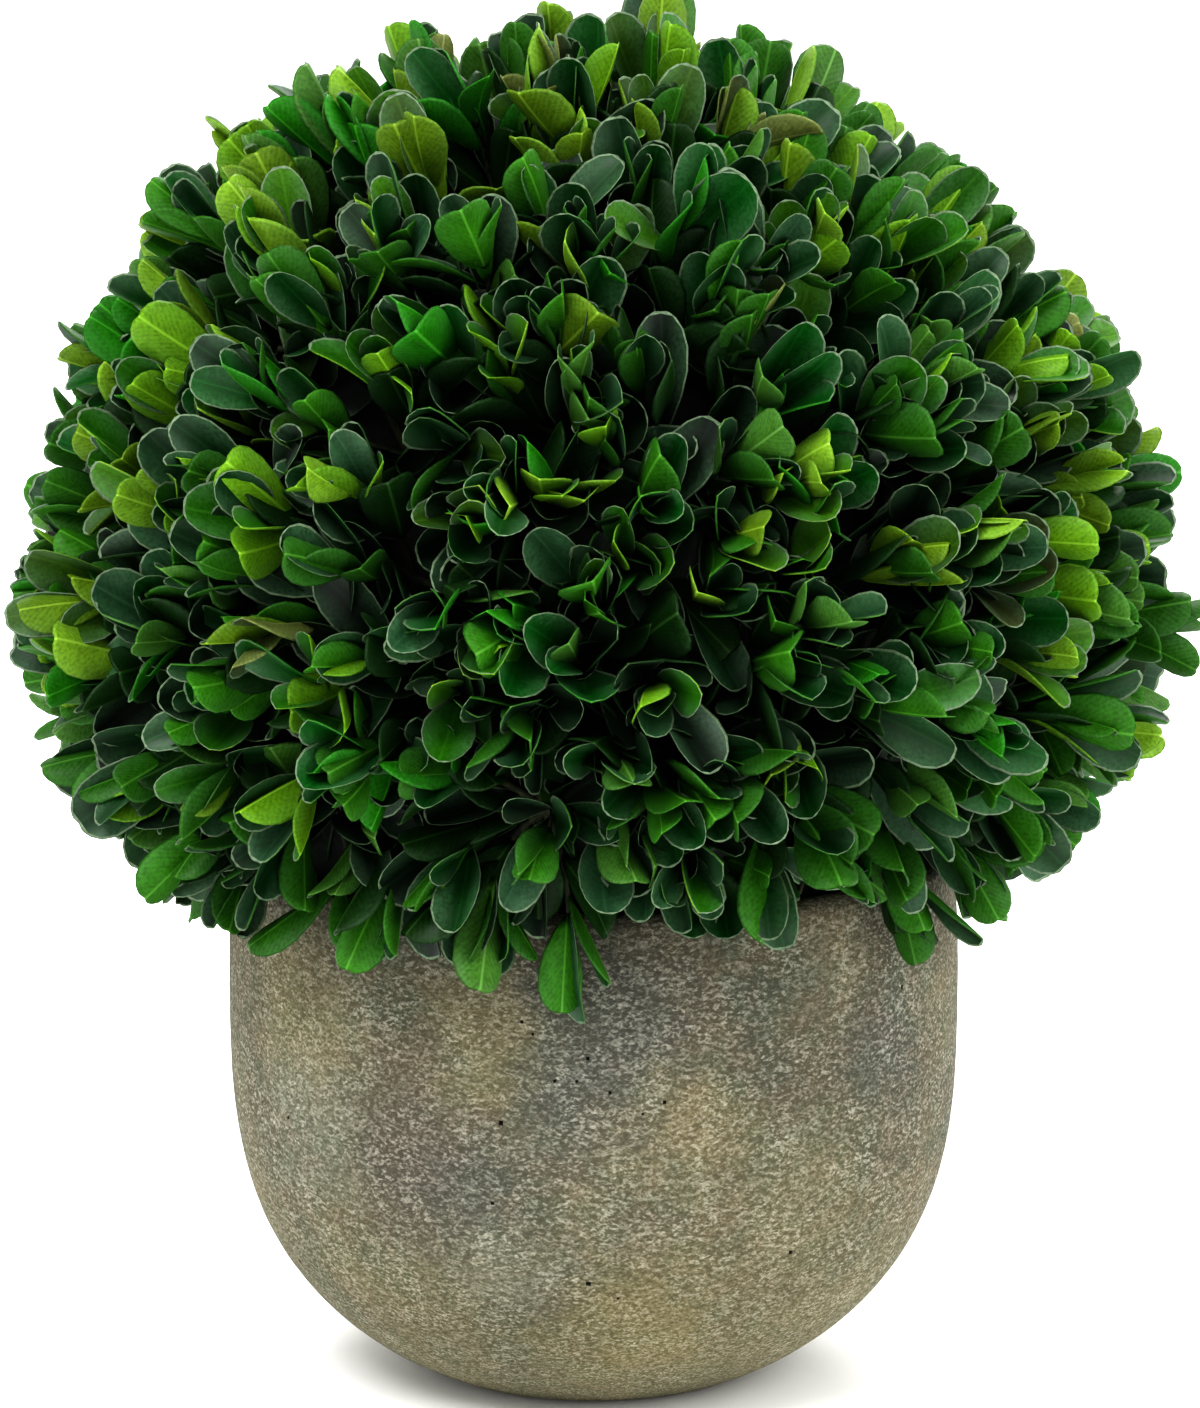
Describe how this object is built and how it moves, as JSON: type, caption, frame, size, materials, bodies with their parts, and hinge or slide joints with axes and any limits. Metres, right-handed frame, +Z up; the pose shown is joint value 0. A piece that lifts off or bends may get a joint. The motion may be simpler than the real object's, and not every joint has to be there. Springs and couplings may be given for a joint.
{
  "type": "table-top box topiary ball in a bowl pot",
  "caption": "Table-top ball of clipped box foliage, made of leafy sprigs on a round core, seated in the mouth of a full bowl-shaped stone pot.",
  "frame": {"origin": "middle of the pot's flat underside", "axes": "+Z up through the stem and the middle of the ball; the ball and pot are round about Z, so X and Y only fix which side faces front (-Y)"},
  "size_m": [0.2255, 0.2223, 0.2602],
  "materials": {
    "stone": "matte",
    "filling": "matte",
    "bark": "matte",
    "foliage": "satin"
  },
  "bodies": {
    "root": {"pot": "stone", "pot_fill": "filling", "stem": "bark", "foliage_ball": "foliage"}
  },
  "joints": []
}
